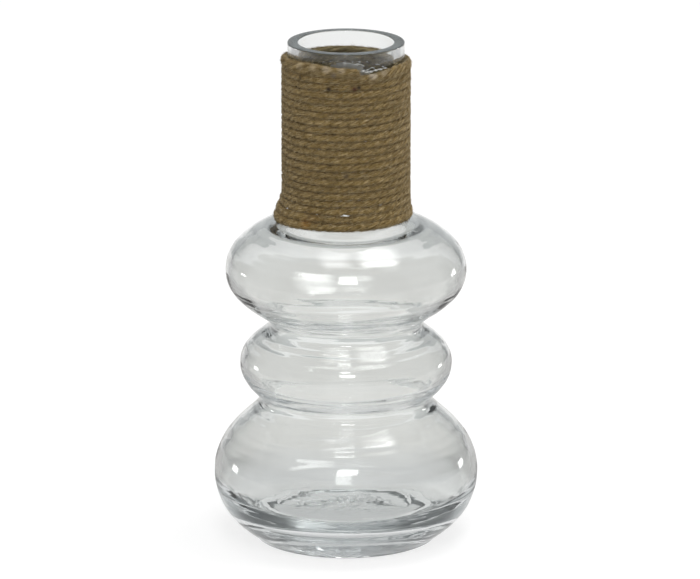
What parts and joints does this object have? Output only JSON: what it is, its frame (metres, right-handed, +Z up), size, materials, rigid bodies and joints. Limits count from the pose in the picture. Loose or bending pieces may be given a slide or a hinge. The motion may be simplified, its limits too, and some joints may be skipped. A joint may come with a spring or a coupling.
{
  "type": "vase",
  "caption": "Clear glass vase with three stacked bulges, a heavy foot and a straight neck wound with jute twine.",
  "frame": {"origin": "on the table, under the middle of the foot", "axes": "+Z up along the vase's axis, the pictured front faces -Y, +X to the right of the front"},
  "size_m": [0.115, 0.115, 0.22],
  "materials": {
    "clear_glass": "smooth and clear, fire-polished, with a fine-ground flat rim",
    "jute_twine": "3-ply natural jute, rough and hairy",
    "clear_glue": "set clear glue, slightly cloudy"
  },
  "bodies": {
    "root": {"glass_body": "clear_glass", "twine_wrap": "jute_twine", "glue_smear_top": "clear_glue", "glue_bead_foot": "clear_glue"}
  },
  "joints": []
}
